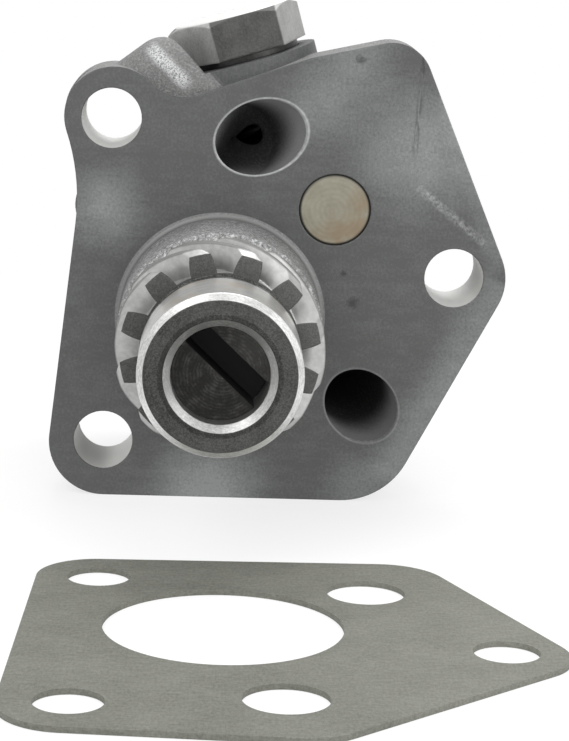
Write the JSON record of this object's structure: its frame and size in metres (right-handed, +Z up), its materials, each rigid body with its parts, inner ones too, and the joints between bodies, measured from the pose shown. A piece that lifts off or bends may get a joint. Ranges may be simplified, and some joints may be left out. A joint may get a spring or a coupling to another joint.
{
  "type": "engine oil pump",
  "caption": "Gear-driven engine oil pump with a flanged cast body, helical drive gear, lobed rotor set, relief valve and a loose mounting gasket.",
  "frame": {"origin": "where the drive shaft's axis meets the mounting face of the flange", "axes": "+Z up as the pump stands, -Y along the shaft out of the mounting face towards the drive gear, +X to the right seen from the gear end"},
  "size_m": [0.074, 0.1662, 0.0808],
  "materials": {
    "cast_iron_body": "rough sand-cast skin, with the flange ground flat",
    "cover_iron": "sand-cast skin with a ground inner face",
    "gear_steel": "hobbed and turned steel, dull on the tooth ends",
    "shaft_steel": "ground steel",
    "pin_steel": "bright drawn steel",
    "bearing_bronze": "bored bronze",
    "sintered_steel": "ground sintered steel",
    "cover_gasket_paper": "thin gasket paper",
    "screw_steel": "zinc-plated steel",
    "spring_steel": "oiled spring wire",
    "relief_plug_steel": "dark oiled steel with worn flats",
    "sealing_ring_metal": "soft metal sealing ring, darkened with oil",
    "passage_plug_metal": "turned plug with a tan passivated face",
    "mounting_gasket_paper": "grey-olive fibrous gasket paper"
  },
  "bodies": {
    "casing": {"pump_body": "cast_iron_body", "front_bushing": "bearing_bronze", "rear_bushing": "bearing_bronze", "thrust_washer": "bearing_bronze", "cover_gasket": "cover_gasket_paper", "rear_cover": "cover_iron", "cover_dowels": "pin_steel", "cover_lock_washers": "screw_steel", "cover_screws": "screw_steel", "relief_spring": "spring_steel", "relief_plug_gasket": "sealing_ring_metal", "relief_plug": "relief_plug_steel", "passage_plug": "passage_plug_metal", "mounting_gasket": "mounting_gasket_paper"},
    "drive": {"drive_shaft": "shaft_steel", "drive_gear": "gear_steel", "gear_pin": "pin_steel", "inner_rotor": "sintered_steel", "rotor_pin": "pin_steel"},
    "ring_rotor": {"outer_rotor": "sintered_steel"},
    "relief_valve": {"relief_plunger": "shaft_steel"}
  },
  "joints": [
    {"name": "shaft_spin", "type": "hinge", "parent": "casing", "child": "drive", "pos_m": [0, 0, 0], "axis": [0, 1, 0], "continuous": true},
    {"name": "outer_rotor_spin", "type": "hinge", "parent": "casing", "child": "ring_rotor", "pos_m": [0.00228, 0.033, 0.00102], "axis": [0, 1, 0], "continuous": true},
    {"name": "relief_slide", "type": "slide", "parent": "casing", "child": "relief_valve", "axis": [-0.2823, 0, 0.9593], "range_m": [0, 0.006], "deforming": ["relief_spring"]}
  ],
  "couplings": [
    {"joint": "outer_rotor_spin", "follows": "shaft_spin", "ratio": 0.8}
  ]
}
